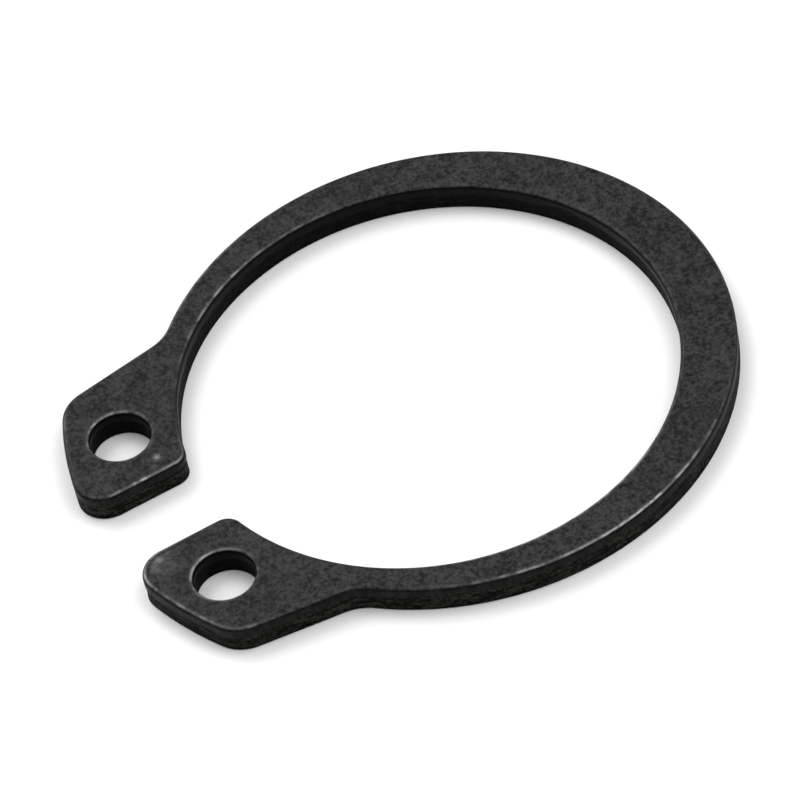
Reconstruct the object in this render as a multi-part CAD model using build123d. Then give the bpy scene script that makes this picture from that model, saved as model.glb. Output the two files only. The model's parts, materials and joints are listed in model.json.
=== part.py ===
from build123d import *
import math
import os

# External retaining ring for an 18 mm shaft, blanked in one piece from spring-steel strip.
# It is drawn free, as it lies before it is opened over its shaft.
# Millimetres, +Z up. The origin is on the shaft axis in the plane of the lower face, and the
# gap between the two lugs faces -Y, so the ring is symmetrical about the plane X = 0.

# --- band: an open ring whose outer circle is off-centre, so it tapers towards the gap ---
bore_diameter = 16.5        # inner diameter of the free ring
thickness = 1.0             # of the strip
back_width = 1.95           # radial width opposite the gap, where the band is widest
root_width = 0.75           # radial width that the taper comes down to at the gap
gap_width = 2.9             # between the ends of the two lugs

# --- lugs, built outwards from their plier holes ---
hole_diameter = 2.0         # plier hole
bore_wall = 0.95            # metal from the hole to the bore
rim_wall = 0.85             # metal from the hole to the outer arc of the lug
gap_wall = 1.2              # metal from the hole to the gap face
flank_wall = 1.55           # metal from the hole to the flank, straight across
flank_angle = 8.0           # degrees by which the flank leans in towards the outer arc

# --- corner radii of the outline ---
root_radius = 1.6           # hollow corner where the flank leaves the band
shoulder_radius = 1.3       # flank to outer arc
tip_radius = 1.0            # outer arc to gap face
heel_radius = 0.6           # gap face to bore

# --- long edges of the section ---
die_roll = 0.15             # radius on the upper edges, drawn down by the punch
lower_break = 0.05          # bevel left on the lower edges once their burr is tumbled off

# --- derived sizes ---
bore_radius = bore_diameter / 2
hole_radius = hole_diameter / 2
gap_x = gap_width / 2
band_radius = bore_radius + (back_width + root_width) / 2
band_offset = (back_width - root_width) / 2         # centre of the band's outer circle, along +Y
hole_orbit = bore_radius + bore_wall + hole_radius  # from the shaft axis to a plier hole
lug_radius = hole_orbit + hole_radius + rim_wall
hole_x = gap_x + gap_wall + hole_radius
hole_y = -math.sqrt(hole_orbit ** 2 - hole_x ** 2)
flank_x = hole_x + hole_radius + flank_wall         # the flank at the level of the hole


def gap_meets(radius):
    """Where the gap face of the right-hand lug crosses a circle about the shaft axis."""
    return Vector(gap_x, -math.sqrt(radius ** 2 - gap_x ** 2))


def flank_meets(radius, centre_y):
    """Where the flank of the right-hand lug crosses the front of a circle centred on X = 0."""
    lean = math.radians(flank_angle)
    along = Vector(-math.sin(lean), -math.cos(lean))
    start = Vector(flank_x, hole_y - centre_y)
    across = start.dot(along)
    reach = -across + math.sqrt(across ** 2 - start.length ** 2 + radius ** 2)
    return start + along * reach + Vector(0, centre_y)


def lug_corners(side):
    """The sharp corners of one lug: root, shoulder, tip and heel. Side is 1 for +X, -1 for -X."""
    right_hand = [
        flank_meets(band_radius, band_offset),
        flank_meets(lug_radius, 0),
        gap_meets(lug_radius),
        gap_meets(bore_radius),
    ]
    return [Vector(side * corner.X, corner.Y) for corner in right_hand]


def lug_edges(root, shoulder, tip, heel):
    """Flank, outer arc and gap face of one lug. The outer arc runs about the shaft axis."""
    rim_middle = (shoulder + tip).normalized() * lug_radius
    return [Line(root, shoulder), ThreePointArc(shoulder, rim_middle, tip), Line(tip, heel)]


def round_corner(face, corner, radius):
    """The face with the vertex nearest to this corner rounded off."""
    vertex = face.vertices().sort_by_distance(corner)[0]
    return face.fillet_2d(radius, [vertex])


def blank():
    """The flat blank: tapered open band, both lugs and all their corner radii, with no holes."""
    right, left = lug_corners(1), lug_corners(-1)
    outline = lug_edges(*right) + lug_edges(*left)
    outline.append(ThreePointArc(right[0], Vector(0, band_offset + band_radius), left[0]))
    outline.append(ThreePointArc(right[-1], Vector(0, bore_radius), left[-1]))
    face = make_face(outline).face()
    radii = [root_radius, shoulder_radius, tip_radius, heel_radius]
    for corner, radius in zip(right + left, radii + radii):
        face = round_corner(face, corner, radius)
    return face


def edges_at(solid, level):
    """Every edge of the solid's flat face at this level: the outline and both holes."""
    return solid.faces().filter_by(Axis.Z).sort_by_distance((0, 0, level))[0].edges()


def retaining_ring():
    """The whole ring: blank, two plier holes, rounded upper edges and bevelled lower edges."""
    ring = extrude(blank(), thickness)
    punch = Cylinder(hole_radius, thickness, align=(Align.CENTER, Align.CENTER, Align.MIN))
    for side in (1, -1):
        ring -= Pos(side * hole_x, hole_y) * punch
    ring = fillet(edges_at(ring, thickness), die_roll)
    return chamfer(edges_at(ring, 0), lower_break)


os.makedirs("parts", exist_ok=True)
ring = retaining_ring()
ring.label = "retaining_ring"
export_step(ring, "parts/retaining_ring.step")
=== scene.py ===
import json
import math

import bpy
import numpy as np
from mathutils import Matrix, Vector, noise
from mathutils.geometry import delaunay_2d_cdt


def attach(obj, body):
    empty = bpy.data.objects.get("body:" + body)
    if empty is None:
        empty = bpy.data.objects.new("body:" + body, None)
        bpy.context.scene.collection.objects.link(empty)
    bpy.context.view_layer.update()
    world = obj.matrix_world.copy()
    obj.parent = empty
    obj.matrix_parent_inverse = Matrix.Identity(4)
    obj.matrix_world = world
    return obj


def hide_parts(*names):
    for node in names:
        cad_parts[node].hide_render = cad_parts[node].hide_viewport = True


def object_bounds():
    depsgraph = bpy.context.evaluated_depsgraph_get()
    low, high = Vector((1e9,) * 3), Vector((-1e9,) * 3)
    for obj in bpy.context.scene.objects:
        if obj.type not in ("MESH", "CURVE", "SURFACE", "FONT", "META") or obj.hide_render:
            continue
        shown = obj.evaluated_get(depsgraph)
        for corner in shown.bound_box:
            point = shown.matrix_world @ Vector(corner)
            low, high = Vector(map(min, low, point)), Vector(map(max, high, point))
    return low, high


# Looks of an external retaining ring: one piece of blanked spring steel with a black oxide finish.
# This script builds the CAD form again as a dense mesh, with its sheared walls, worn edges and small
# chips, and lights it on a pale floor. Painted shade darkens the walls, most of all in the bore and the
# plier holes, and a painted highlight runs along the worn edges. The ring's own lengths are in mm until
# to_metres() turns them into metres. The stage is in metres.

MM = 0.001
NODE = "retaining_ring"

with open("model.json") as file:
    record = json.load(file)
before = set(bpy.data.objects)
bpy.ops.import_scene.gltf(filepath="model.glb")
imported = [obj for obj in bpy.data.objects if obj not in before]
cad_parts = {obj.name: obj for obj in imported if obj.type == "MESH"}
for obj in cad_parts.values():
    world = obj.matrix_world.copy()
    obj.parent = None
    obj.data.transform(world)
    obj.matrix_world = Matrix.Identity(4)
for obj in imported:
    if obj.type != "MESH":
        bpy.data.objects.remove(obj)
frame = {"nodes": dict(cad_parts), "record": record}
cad_low, cad_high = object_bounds()

# ---------------------------------------------------------------- sizes
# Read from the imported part. The lug radius stays short of the facets' reach by a hair, so that the
# mesh lies inside the CAD box.
BOX_SLACK = 0.003

mounts = {mount["name"]: mount for mount in frame["record"]["mounts"]}
right_hole = mounts["plier_hole_right"]
thickness = cad_high.z / MM
bore_radius = mounts["shaft_seat"]["dims"]["r_mm"]
hole_radius = right_hole["dims"]["r_mm"]
hole_x, hole_y = (right_hole["pos_m"][axis] / MM for axis in (0, 1))

cad_points = np.array([vertex.co for vertex in frame["nodes"][NODE].data.vertices]) / MM
lug_points = cad_points[cad_points[:, 1] < -bore_radius]
band_radius = cad_high.x / MM
band_offset = cad_high.y / MM - band_radius
gap_x = float(np.abs(lug_points[:, 0]).min())
lug_radius = float(np.hypot(lug_points[:, 0], lug_points[:, 1]).max()) - BOX_SLACK

# Repeated from the part's source:
FLANK_WALL = 1.55
FLANK_ANGLE = math.radians(8.0)
ROOT_RADIUS = 1.6
SHOULDER_RADIUS = 1.3
TIP_RADIUS = 1.0
HEEL_RADIUS = 0.6
DIE_ROLL = 0.15
LOWER_BREAK = 0.05

# Fineness of the mesh. The low rows of the die roll still have the wall's finish.
OUTLINE_STEP = 0.075
FACE_STEP = 0.1
WALL_ROWS = 10
ROLL_ROWS = 9
LOW_ROLL_ROWS = 4

# ---------------------------------------------------------------- outline
# A stretch of outline is a list of (point, outward normal) pairs, with its last point left to
# the next stretch. Points and normals are complex numbers: x + 1j * y.


def cut(line_point, along, centre, radius):
    """Where a line leaves a circle, going along its direction."""
    start = line_point - centre
    across = (start * along.conjugate()).real
    reach = -across + math.sqrt(across ** 2 - abs(start) ** 2 + radius ** 2)
    return line_point + along * reach


def arc(centre, start, end, outward):
    """The shorter way round from start to end. Outward is 1 on a convex arc and -1 on a hollow one."""
    first = start - centre
    turn = np.angle((end - centre) / first)
    count = max(2, math.ceil(abs(turn) * abs(first) / OUTLINE_STEP))
    spokes = [first * np.exp(1j * turn * k / count) for k in range(count)]
    return [(centre + spoke, outward * spoke / abs(spoke)) for spoke in spokes]


def straight(start, end, normal):
    count = max(2, math.ceil(abs(end - start) / OUTLINE_STEP))
    return [(start + (end - start) * k / count, normal) for k in range(count)]


def right_half():
    """From the back of the band's outer circle, round the right-hand lug, to the back of the bore."""
    along = -1j * np.exp(-1j * FLANK_ANGLE)
    flank_out = 1j * along
    flank = hole_x + hole_radius + FLANK_WALL + 1j * hole_y
    band = 1j * band_offset

    root = cut(flank + ROOT_RADIUS * flank_out, along, band, band_radius + ROOT_RADIUS)
    shoulder = cut(flank - SHOULDER_RADIUS * flank_out, along, 0, lug_radius - SHOULDER_RADIUS)
    tip = cut(gap_x + TIP_RADIUS, -1j, 0, lug_radius - TIP_RADIUS)
    heel = cut(gap_x + HEEL_RADIUS, -1j, 0, bore_radius + HEEL_RADIUS)

    root_start = band + (root - band) / abs(root - band) * band_radius
    root_end = root - ROOT_RADIUS * flank_out
    shoulder_start = shoulder + SHOULDER_RADIUS * flank_out
    shoulder_end = shoulder / abs(shoulder) * lug_radius
    tip_start = tip / abs(tip) * lug_radius
    tip_end = tip - TIP_RADIUS
    heel_start = heel - HEEL_RADIUS
    heel_end = heel / abs(heel) * bore_radius

    return (
        arc(band, band + 1j * band_radius, root_start, 1)
        + arc(root, root_start, root_end, -1)
        + straight(root_end, shoulder_start, flank_out)
        + arc(shoulder, shoulder_start, shoulder_end, 1)
        + arc(0, shoulder_end, tip_start, 1)
        + arc(tip, tip_start, tip_end, 1)
        + straight(tip_end, heel_start, -1)
        + arc(heel, heel_start, heel_end, 1)
        + arc(0, heel_end, 1j * bore_radius, -1)
        + [(1j * bore_radius, -1j)]
    )


def ring_outline():
    """The whole outline, anticlockwise as seen from above."""
    right = right_half()
    left = [(-point.conjugate(), -normal.conjugate()) for point, normal in right]
    return left + right[-2:0:-1]


def hole_outline(side):
    """A plier hole, clockwise as seen from above. Its outward normal points at the hole's axis."""
    centre = side * hole_x + 1j * hole_y
    count = math.ceil(2 * math.pi * hole_radius / OUTLINE_STEP)
    spokes = [np.exp(-2j * math.pi * k / count) for k in range(count)]
    return [(centre + hole_radius * spoke, -spoke) for spoke in spokes]


# ---------------------------------------------------------------- relief
def grain(x, y, z, scale):
    """Smooth noise from -1 to 1, with features about 1 / scale mm across."""
    return noise.noise(Vector((x, y, z)) * scale)


# The fracture's level is a share of the thickness, and the pits start at a level of the noise. The
# other values are in mm.
FRACTURE_LEVEL = 0.62
FRACTURE_BLEND = 0.07
TORN_DEPTH = 0.018
TORN_COARSE = 0.006
TORN_FINE = 0.004
SHEARED_WAVE = 0.0012
LONG_WAVE = 0.0012
SHORT_WAVE = 0.0010
PIT_SLOPE = 0.010
PIT_LEVEL = 0.42


def fracture_top(x, y):
    """Height at which the smooth sheared part of a wall gives way to the torn part below it."""
    ripple = 0.10 * grain(x, y, 0.0, 0.9) + 0.06 * grain(x, y, 3.0, 3.5)
    return thickness * (FRACTURE_LEVEL + ripple)


def torn(x, y, z):
    """0 on the smooth sheared part of a wall, 1 on the torn part."""
    return min(1.0, max(0.0, (fracture_top(x, y) - z) / FRACTURE_BLEND + 0.5))


def wall_sink(x, y, z):
    """How far a point of the wall lies behind the CAD wall."""
    coarse = TORN_COARSE * (1 + grain(x, y, 2.2 * z, 5.0))
    fine = TORN_FINE * (1 + grain(x, y, 2.0 * z, 11.0))
    smooth = SHEARED_WAVE * (1 + grain(x, y, 0.8 * z, 5.0))
    share = torn(x, y, z)
    return share * (TORN_DEPTH + coarse + fine) + (1 - share) * smooth


def face_sink(x, y):
    """How far a point of a flat face lies behind the CAD face: shallow waves and soft pits."""
    long_waves = LONG_WAVE * (1 + grain(x, y, 7.0, 0.8))
    short_waves = SHORT_WAVE * (1 + grain(x, y, 9.0, 2.6))
    pits = PIT_SLOPE * max(0.0, grain(x, y, 20.0, 4.2) - PIT_LEVEL)
    return long_waves + short_waves + pits


# ---------------------------------------------------------------- wear and painted highlights
# Places where handling has rubbed the black off the upper edge and where a painted highlight brightens it,
# set
# from the photograph and rounded: x, y and reach in mm, then strength.
RUBBED_AND_LIT_PLACES = (
    (-7.3, -3.4, 3.0, 0.45),
    (9.1, 2.7, 3.2, 0.75),
    (8.4, -1.6, 2.0, 0.45),
    (-1.5, -9.6, 1.3, 0.80),
    (1.8, -11.2, 0.9, 1.00),
    (5.0, -10.9, 1.6, 0.55),
    (-4.6, -9.9, 1.0, 0.70),
    (2.9, -9.9, 1.0, 0.60),
)

# Spots rubbed or chipped bright on the upper face itself, in the same form.
FACE_SPOTS = (
    (1.8, -11.0, 0.45, 0.26),
    (-2.1, -8.95, 0.10, 0.42),
    (-1.8, -9.25, 0.08, 0.22),
)

# An edge's rub and painted highlight lie along a narrow crest. Its place and width are shares of the die
# roll's width.
CREST_PLACE = 0.52
CREST_WIDTH = 0.28
# The least rub and painted highlight, left all along every upper edge.
LEAST_RUB_AND_HIGHLIGHT = 0.06


def near(x, y, place):
    """A place's strength at its middle, fading to about a third of it at its reach."""
    place_x, place_y, reach, strength = place
    away = math.hypot(x - place_x, y - place_y) / reach
    return strength * math.exp(-away * away)


def spot_wear(x, y):
    return max(near(x, y, spot) for spot in FACE_SPOTS)


def edge_wear_and_highlight(x, y, set_back):
    """Rubbed wear and a painted highlight on the die roll's crest: little where the edge is still black, up
    to 1 in the rubbed and lit places.
    """
    share = min(1.0, LEAST_RUB_AND_HIGHLIGHT + sum(near(x, y, place) for place in RUBBED_AND_LIT_PLACES))
    off_crest = (set_back / DIE_ROLL - CREST_PLACE) / CREST_WIDTH
    return math.exp(-off_crest ** 2) * share


# ---------------------------------------------------------------- mesh
# Where the rows at the section's ends lie, as shares of the lower break and of the die roll.
LOWER_INSET = 2.2
LOWER_MIDDLE = 0.35
UPPER_INSET = 1.45


def section_rows():
    """The section's edge from the lower face up to the upper face: (set-back, height, zone) rows."""
    middle = LOWER_BREAK * LOWER_MIDDLE
    rows = [
        (LOWER_BREAK * LOWER_INSET, 0.0, "lower"),
        (LOWER_BREAK, 0.0, "lower"),
        (middle, middle, "lower"),
    ]
    wall_bottom, wall_top = LOWER_BREAK, thickness - DIE_ROLL
    for k in range(WALL_ROWS + 1):
        rows.append((0.0, wall_bottom + (wall_top - wall_bottom) * k / WALL_ROWS, "wall"))
    for k in range(1, ROLL_ROWS + 1):
        angle = math.pi / 2 * k / ROLL_ROWS
        set_back = DIE_ROLL * (1 - math.cos(angle))
        zone = "roll" if k > LOW_ROLL_ROWS else "low roll"
        rows.append((set_back, wall_top + DIE_ROLL * math.sin(angle), zone))
    rows.append((DIE_ROLL * UPPER_INSET, thickness, "face"))
    return rows


class RingMesh:
    """Collects vertices and faces, with what the material reads at each vertex."""

    def __init__(self):
        self.points = []
        self.faces = []
        self.walls = []
        self.wear_and_highlight = []
        self.torn = []
        self.inner = []

    def vertex(self, x, y, z, wear_and_highlight=0.0, torn_share=0.0, inner=0.0):
        self.points.append((x, y, z))
        self.wear_and_highlight.append(wear_and_highlight)
        self.torn.append(torn_share)
        self.inner.append(inner)
        return len(self.points) - 1

    def face(self, corners, is_wall):
        self.faces.append(corners)
        self.walls.append(is_wall)


INNER_MARGIN = 0.02


def is_inner(point):
    """1 on the walls of the bore and of the plier holes, which get painted shade."""
    at_bore = abs(point) < bore_radius + INNER_MARGIN
    from_hole = abs(abs(point.real) + 1j * point.imag - hole_x - 1j * hole_y)
    at_hole = from_hole < hole_radius + INNER_MARGIN
    return float(at_bore or at_hole)


def section_vertex(mesh, point, normal, row):
    """One vertex of one row of the section, at one point of the outline."""
    set_back, height, zone = row
    x, y = point.real, point.imag
    wear_and_highlight = torn_share = 0.0
    sink = set_back
    if zone == "wall":
        sink += wall_sink(x, y, height)
        torn_share = torn(x, y, height)
    # The die roll gets rubbed wear and a painted highlight along its crest.
    if zone == "roll":
        wear_and_highlight = edge_wear_and_highlight(x, y, set_back)
    place = point - normal * sink
    return mesh.vertex(place.real, place.imag, height, wear_and_highlight, torn_share, is_inner(point))


def ring_of_section(mesh, outline):
    """Runs the section round one outline. Returns the vertices of its lowest and highest rows."""
    points, normals = np.array(outline).T
    section = section_rows()
    rows = [[section_vertex(mesh, p, n, row) for p, n in zip(points, normals)] for row in section]
    for low, high, (_, _, zone) in zip(rows, rows[1:], section[1:]):
        is_wall = zone in ("wall", "lower", "low roll")
        for k in range(len(points)):
            after = (k + 1) % len(points)
            mesh.face((low[k], low[after], high[after], high[k]), is_wall)
    return rows[0], rows[-1]


def inside(points, loop):
    """Even-odd test of many points against one closed loop, both complex."""
    hit = np.zeros(len(points), bool)
    for a, b in zip(loop, np.roll(loop, -1)):
        if a.imag == b.imag:
            continue
        crosses = (a.imag > points.imag) != (b.imag > points.imag)
        at = a.real + (points.imag - a.imag) * (b.real - a.real) / (b.imag - a.imag)
        hit ^= crosses & (points.real < at)
    return hit


def on_metal(points, rims):
    """Which points lie inside the first rim and outside the others."""
    keep = inside(points, rims[0])
    for rim in rims[1:]:
        keep &= ~inside(points, rim)
    return keep


def distance_to(points, loop, batch=2000):
    """Distance from each point to the nearest vertex of a loop, worked out a batch at a time."""
    nearest = np.full(len(points), np.inf)
    for start in range(0, len(points), batch):
        part = points[start:start + batch]
        nearest[start:start + batch] = np.abs(part[:, None] - loop[None, :]).min(axis=1)
    return nearest


def triangular_grid(low, high, step):
    rise = step * math.sqrt(3) / 2
    rows = np.arange(low.imag, high.imag, rise)
    columns = np.arange(low.real, high.real, step)
    return np.array([x + step / 2 * (k % 2) + 1j * y for k, y in enumerate(rows) for x in columns])


RIM_CLEARANCE = 0.7 * FACE_STEP
MERGE_DISTANCE = 1e-7


def grid_between(rims):
    """The grid points that fill a flat face, kept clear of its rims."""
    outer = rims[0]
    low = complex(outer.real.min(), outer.imag.min())
    high = complex(outer.real.max(), outer.imag.max())
    grid = triangular_grid(low, high, FACE_STEP)
    grid = grid[on_metal(grid, rims)]
    for rim in rims:
        grid = grid[distance_to(grid, rim) > RIM_CLEARANCE]
    return grid


def rim_edges(loops):
    edges = []
    first = 0
    for loop in loops:
        edges += [(first + k, first + (k + 1) % len(loop)) for k in range(len(loop))]
        first += len(loop)
    return edges


def face_vertex(mesh, x, y, height, upward):
    sink = face_sink(x, y)
    if upward:
        return mesh.vertex(x, y, height - sink, spot_wear(x, y))
    return mesh.vertex(x, y, height + sink)


def flat_face(mesh, loops, height, upward):
    """Fills the flat face inside the first loop and outside the others with even triangles."""
    rims = [np.array([complex(*mesh.points[v][:2]) for v in loop]) for loop in loops]
    owners = [v for loop in loops for v in loop]
    sites = [Vector(mesh.points[v][:2]) for v in owners]
    sites += [Vector((p.real, p.imag)) for p in grid_between(rims)]
    made = delaunay_2d_cdt(sites, rim_edges(loops), [], 0, MERGE_DISTANCE)
    places, triangles, origins = made[0], made[2], made[3]

    index = []
    for place, origin in zip(places, origins):
        if origin and origin[0] < len(owners):
            index.append(owners[origin[0]])
        else:
            index.append(face_vertex(mesh, place.x, place.y, height, upward))
    middles = np.array([sum((complex(*places[v]) for v in tri), 0) / 3 for tri in triangles])
    for tri, wanted in zip(triangles, on_metal(middles, rims)):
        if wanted:
            corners = tuple(index[v] for v in tri)
            mesh.face(corners if upward else corners[::-1], False)


def build_ring():
    mesh = RingMesh()
    outlines = [ring_outline(), hole_outline(1), hole_outline(-1)]
    ends = [ring_of_section(mesh, outline) for outline in outlines]
    flat_face(mesh, [low for low, _ in ends], 0.0, upward=False)
    flat_face(mesh, [high for _, high in ends], thickness, upward=True)
    return mesh


def to_metres(mesh, name):
    data = bpy.data.meshes.new(name)
    data.from_pydata([tuple(c * MM for c in point) for point in mesh.points], [], mesh.faces)
    data.validate()
    for key, values in (("wear_and_highlight", mesh.wear_and_highlight), ("torn", mesh.torn), ("inner", mesh.inner)):
        layer = data.attributes.new(key, "FLOAT", "POINT")
        layer.data.foreach_set("value", values)
    data.polygons.foreach_set("material_index", [int(is_wall) for is_wall in mesh.walls])
    data.shade_smooth()
    piece = bpy.data.objects.new(name, data)
    bpy.context.scene.collection.objects.link(piece)
    return piece


# ---------------------------------------------------------------- materials
# Greys are linear. A noise's scale counts its features per mm, and a bump's depth is in mm.
class Nodes:
    """Short calls for a shader's node tree."""

    def __init__(self, material):
        material.use_nodes = True
        self.tree = material.node_tree
        self.shader = self.tree.nodes["Principled BSDF"]

    def add(self, kind, **inputs):
        node = self.tree.nodes.new(kind)
        for key, value in inputs.items():
            self.feed(node.inputs[key.replace("_", " ")], value)
        return node

    def feed(self, socket, value):
        if isinstance(value, bpy.types.NodeSocket):
            self.tree.links.new(value, socket)
        else:
            socket.default_value = value

    def position(self, stretch=(1, 1, 1)):
        """Object coordinates in mm, squeezed by a factor along each axis."""
        coordinates = self.add("ShaderNodeTexCoord")
        scaled = self.add("ShaderNodeVectorMath")
        scaled.operation = "MULTIPLY"
        self.feed(scaled.inputs[0], coordinates.outputs["Object"])
        scaled.inputs[1].default_value = [s / MM for s in stretch]
        return scaled.outputs[0]

    def noise(self, scale, detail=2.0, roughness=0.5, stretch=(1, 1, 1)):
        node = self.add(
            "ShaderNodeTexNoise", Vector=self.position(stretch),
            Scale=scale, Detail=detail, Roughness=roughness,
        )
        return node.outputs["Fac"]

    def ramp(self, value, low, high, start=0.0, end=1.0):
        node = self.add(
            "ShaderNodeMapRange", Value=value,
            From_Min=low, From_Max=high, To_Min=start, To_Max=end,
        )
        node.interpolation_type = "SMOOTHSTEP"
        return node.outputs["Result"]

    def math(self, operation, first, second):
        node = self.add("ShaderNodeMath")
        node.operation = operation
        self.feed(node.inputs[0], first)
        self.feed(node.inputs[1], second)
        return node.outputs[0]

    def mix(self, share, first, second):
        node = self.add("ShaderNodeMix")
        node.data_type = "RGBA"
        self.feed(node.inputs["Factor"], share)
        for socket, value in zip([s for s in node.inputs if s.type == "RGBA"], (first, second)):
            self.feed(socket, value)
        return next(s for s in node.outputs if s.type == "RGBA")

    def attribute(self, name):
        node = self.add("ShaderNodeAttribute")
        node.attribute_name = name
        return node.outputs["Fac"]

    def bump(self, height, distance, below=None):
        node = self.add("ShaderNodeBump", Height=height, Strength=1.0, Distance=distance * MM)
        if below is not None:
            self.feed(node.inputs["Normal"], below)
        return node.outputs["Normal"]


def grey(level, tint=(1.0, 1.0, 1.0)):
    return (level * tint[0], level * tint[1], level * tint[2], 1.0)


# Bare steel grey for rubbed edges, also used as a painted highlight along the edge crests.
BARE_STEEL_AND_HIGHLIGHT = grey(0.34)
FACE_BLACK = 0.001
RUB_POLISH = 0.12
PIT_DEPTH = 0.006
GRAIN_DEPTH = 0.0035


def oxide_face():
    """The flat faces and rounded edges: satin black oxide with a fine grain, rubbed along its edges, with a
    painted highlight along the edge crests.
    """
    material = bpy.data.materials.new("black_oxide_face")
    n = Nodes(material)
    fine = n.noise(8.5, detail=2.0, roughness=0.6)
    medium = n.noise(2.4, detail=1.5, roughness=0.5)
    broad = n.noise(0.35, detail=2.0)
    speckle = n.math("ADD", n.math("MULTIPLY", fine, 0.72), n.math("MULTIPLY", medium, 0.28))
    warmth = n.ramp(broad, 0.42, 0.58)
    dark = n.mix(warmth, grey(FACE_BLACK, (0.98, 0.96, 1.12)), grey(FACE_BLACK, (1.05, 1.00, 0.93)))
    light = n.mix(warmth, grey(0.031, (0.99, 0.98, 1.06)), grey(0.034))
    oxide = n.mix(n.ramp(speckle, 0.33, 0.69), dark, light)

    patches = n.ramp(n.noise(2.2, detail=4.0), 0.42, 0.60, 0.30, 1.0)
    # Rubbed wear and painted highlight along the edges, broken up in patches.
    rub_and_highlight = n.math("MULTIPLY", n.attribute("wear_and_highlight"), patches)
    n.feed(n.shader.inputs["Base Color"], n.mix(rub_and_highlight, oxide, BARE_STEEL_AND_HIGHLIGHT))
    satin = n.ramp(speckle, 0.3, 0.7, 0.40, 0.56)
    n.feed(n.shader.inputs["Roughness"], n.math("SUBTRACT", satin, n.math("MULTIPLY", rub_and_highlight, RUB_POLISH)))
    n.shader.inputs["Metallic"].default_value = 0.6
    n.shader.inputs["Specular IOR Level"].default_value = 0.16
    pits = n.bump(n.noise(5.5, detail=2.0), PIT_DEPTH)
    n.feed(n.shader.inputs["Normal"], n.bump(fine, GRAIN_DEPTH, below=pits))
    return material


# Painted shade in the bore and the plier holes: their walls are mixed towards near black.
HOLLOW_SHADE_BLACK = grey(0.0005)
HOLLOW_SHADE_SHARE = 0.8
DRAWN_DEPTH = 0.003
CRUMB_DEPTH = 0.02


def oxide_wall():
    """The sheared walls: drawn smooth above and torn below, both darker than the faces, partly as the
    sheared steel's own grey and partly as painted shade.
    """
    material = bpy.data.materials.new("black_oxide_wall")
    n = Nodes(material)
    drawn = n.noise(2.4, detail=3.0, roughness=0.6, stretch=(2.2, 2.2, 1.2))
    layers = n.noise(1.6, detail=3.0, roughness=0.6, stretch=(0.8, 0.8, 5.0))
    crumbs = n.noise(8.0, detail=3.0, roughness=0.65)
    torn_share = n.attribute("torn")
    # The wall greys are set low partly as painted shade on the walls, on top of the sheared steel's own
    # grey.
    smooth = n.mix(n.ramp(drawn, 0.36, 0.68), grey(0.003), grey(0.010))
    break_up = n.math("ADD", n.math("MULTIPLY", layers, 0.5), n.math("MULTIPLY", crumbs, 0.5))
    flakes = n.ramp(break_up, 0.44, 0.62)
    rough = n.mix(flakes, grey(0.001, (1.0, 0.98, 0.85)), grey(0.022, (1.04, 1.0, 0.84)))
    walls = n.mix(torn_share, smooth, rough)
    # Painted shade on the walls of the bore and of the plier holes.
    hollow_shade = n.math("MULTIPLY", n.attribute("inner"), HOLLOW_SHADE_SHARE)
    n.feed(n.shader.inputs["Base Color"], n.mix(hollow_shade, walls, HOLLOW_SHADE_BLACK))
    n.feed(n.shader.inputs["Roughness"], n.ramp(torn_share, 0.0, 1.0, 0.46, 0.68))
    n.shader.inputs["Metallic"].default_value = 0.2
    n.shader.inputs["Specular IOR Level"].default_value = 0.05
    marks = n.bump(drawn, DRAWN_DEPTH)
    crumb_height = n.math("MULTIPLY", crumbs, n.ramp(torn_share, 0.0, 1.0, 0.15, 1.0))
    n.feed(n.shader.inputs["Normal"], n.bump(crumb_height, CRUMB_DEPTH, below=marks))
    return material


def floor_material():
    material = bpy.data.materials.new("floor")
    n = Nodes(material)
    n.shader.inputs["Base Color"].default_value = grey(0.86)
    n.shader.inputs["Roughness"].default_value = 0.9
    n.shader.inputs["Specular IOR Level"].default_value = 0.1
    return material


# ---------------------------------------------------------------- stage
# The floor lies a hair below the ring, so that it never shares a plane with the underside.
FLOOR_DROP = 0.02 * MM
FLOOR_HALF = 1.5


def add_floor():
    data = bpy.data.meshes.new("floor")
    corners = [(-FLOOR_HALF, -FLOOR_HALF), (FLOOR_HALF, -FLOOR_HALF)]
    corners += [(FLOOR_HALF, FLOOR_HALF), (-FLOOR_HALF, FLOOR_HALF)]
    data.from_pydata([(x, y, -FLOOR_DROP) for x, y in corners], [], [(0, 1, 2, 3)])
    floor = bpy.data.objects.new("floor", data)
    bpy.context.scene.collection.objects.link(floor)
    floor.data.materials.append(floor_material())


def direction(azimuth, elevation):
    a, e = math.radians(azimuth), math.radians(elevation)
    return Vector((math.sin(a) * math.cos(e), -math.cos(a) * math.cos(e), math.sin(e)))


def add_softbox(name, azimuth, elevation, distance, size, power):
    light = bpy.data.lights.new(name, "AREA")
    light.shape = "SQUARE"
    light.size = size
    light.energy = power
    lamp = bpy.data.objects.new(name, light)
    lamp.location = direction(azimuth, elevation) * distance
    lamp.rotation_mode = "QUATERNION"
    lamp.rotation_quaternion = lamp.location.to_track_quat("Z", "Y")
    bpy.context.scene.collection.objects.link(lamp)


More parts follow.
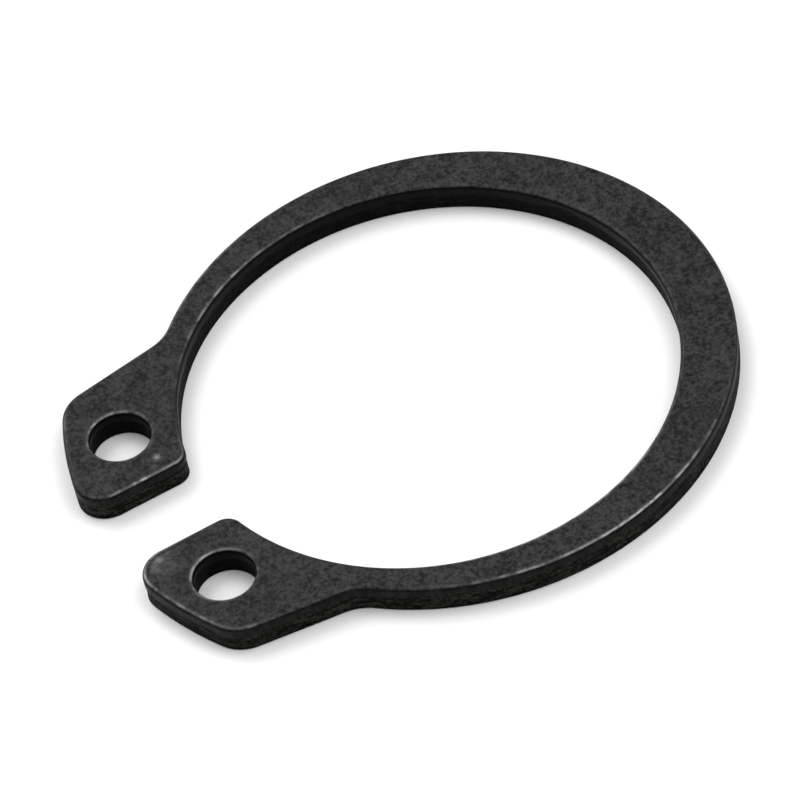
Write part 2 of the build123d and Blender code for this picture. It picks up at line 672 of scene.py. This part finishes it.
# Fitted to the photograph's view and rounded. The camera aims at the middle of the CAD box and then
# steps sideways and down in its own picture plane.
CAMERA_AZIMUTH = 70.4
CAMERA_ELEVATION = 47.1
CAMERA_ROLL = math.radians(-12.7)
CAMERA_DISTANCE = 250 * MM
CAMERA_LENS = 346.7
CAMERA_SIDESTEP = (-0.28 * MM, -0.21 * MM)


def add_camera():
    back = direction(CAMERA_AZIMUTH, CAMERA_ELEVATION)
    right = (-back).cross(Vector((0, 0, 1))).normalized()
    up = right.cross(-back)
    x_axis = right * math.cos(CAMERA_ROLL) + up * math.sin(CAMERA_ROLL)
    y_axis = up * math.cos(CAMERA_ROLL) - right * math.sin(CAMERA_ROLL)
    aim = (cad_low + cad_high) / 2 + x_axis * CAMERA_SIDESTEP[0] + y_axis * CAMERA_SIDESTEP[1]
    camera = bpy.data.objects.new("camera", bpy.data.cameras.new("camera"))
    camera.data.lens = CAMERA_LENS
    camera.data.clip_start = 0.01
    turn = Matrix((x_axis, y_axis, back)).transposed().to_4x4()
    camera.matrix_world = Matrix.Translation(aim + back * CAMERA_DISTANCE) @ turn
    bpy.context.scene.collection.objects.link(camera)
    bpy.context.scene.camera = camera


WORLD_STRENGTH = 0.82

# Each lamp's name, azimuth from the camera and elevation in degrees, distance and size in metres, and watts.
SOFTBOXES = (
    ("back_softbox", 208, 52, 0.6, 0.40, 1.9),
    ("right_softbox", 85, 60, 0.5, 0.3, 0.8),
)


def add_studio():
    add_floor()
    world = bpy.data.worlds.new("studio")
    world.use_nodes = True
    background = world.node_tree.nodes["Background"]
    background.inputs["Color"].default_value = (1, 1, 1, 1)
    background.inputs["Strength"].default_value = WORLD_STRENGTH
    scene = bpy.context.scene
    scene.world = world
    scene.view_settings.view_transform = "Standard"
    for name, from_camera, elevation, distance, size, power in SOFTBOXES:
        add_softbox(name, CAMERA_AZIMUTH + from_camera, elevation, distance, size, power)
    add_camera()


piece = to_metres(build_ring(), "ring_body")
piece.data.materials.append(oxide_face())
piece.data.materials.append(oxide_wall())
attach(piece, "root")
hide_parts(NODE)
add_studio()
